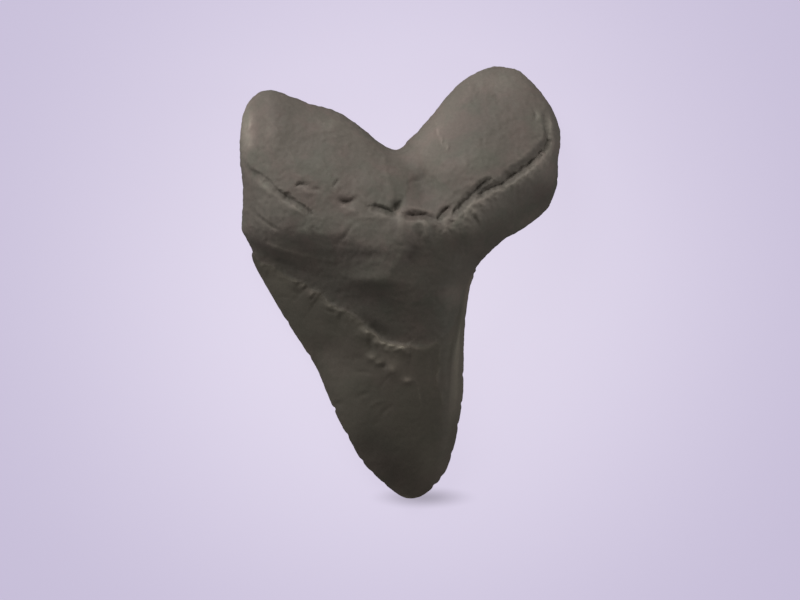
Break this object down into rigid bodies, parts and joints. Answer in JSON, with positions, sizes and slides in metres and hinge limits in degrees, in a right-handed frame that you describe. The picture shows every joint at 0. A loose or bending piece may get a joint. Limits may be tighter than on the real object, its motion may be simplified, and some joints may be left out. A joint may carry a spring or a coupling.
{
  "type": "fossil shark tooth",
  "caption": "Fossil megalodon tooth on its flat labial face: two-lobed root with a bulging, creased lingual side, chipped enamel edge and a broad crown with worn cutting edges.",
  "frame": {"origin": "middle of the tooth's bounding box, on the surface that it lies on", "axes": "+Y from the crown's tip to the root, +X towards the taller lobe of the root, +Z out of the lingual face"},
  "size_m": [0.1042, 0.1404, 0.0303],
  "materials": {
    "fossil": "grey-brown fossil bone and enamel, matt on the root and with a faint sheen on the crown"
  },
  "bodies": {
    "root": {"tooth": "fossil"}
  },
  "joints": []
}
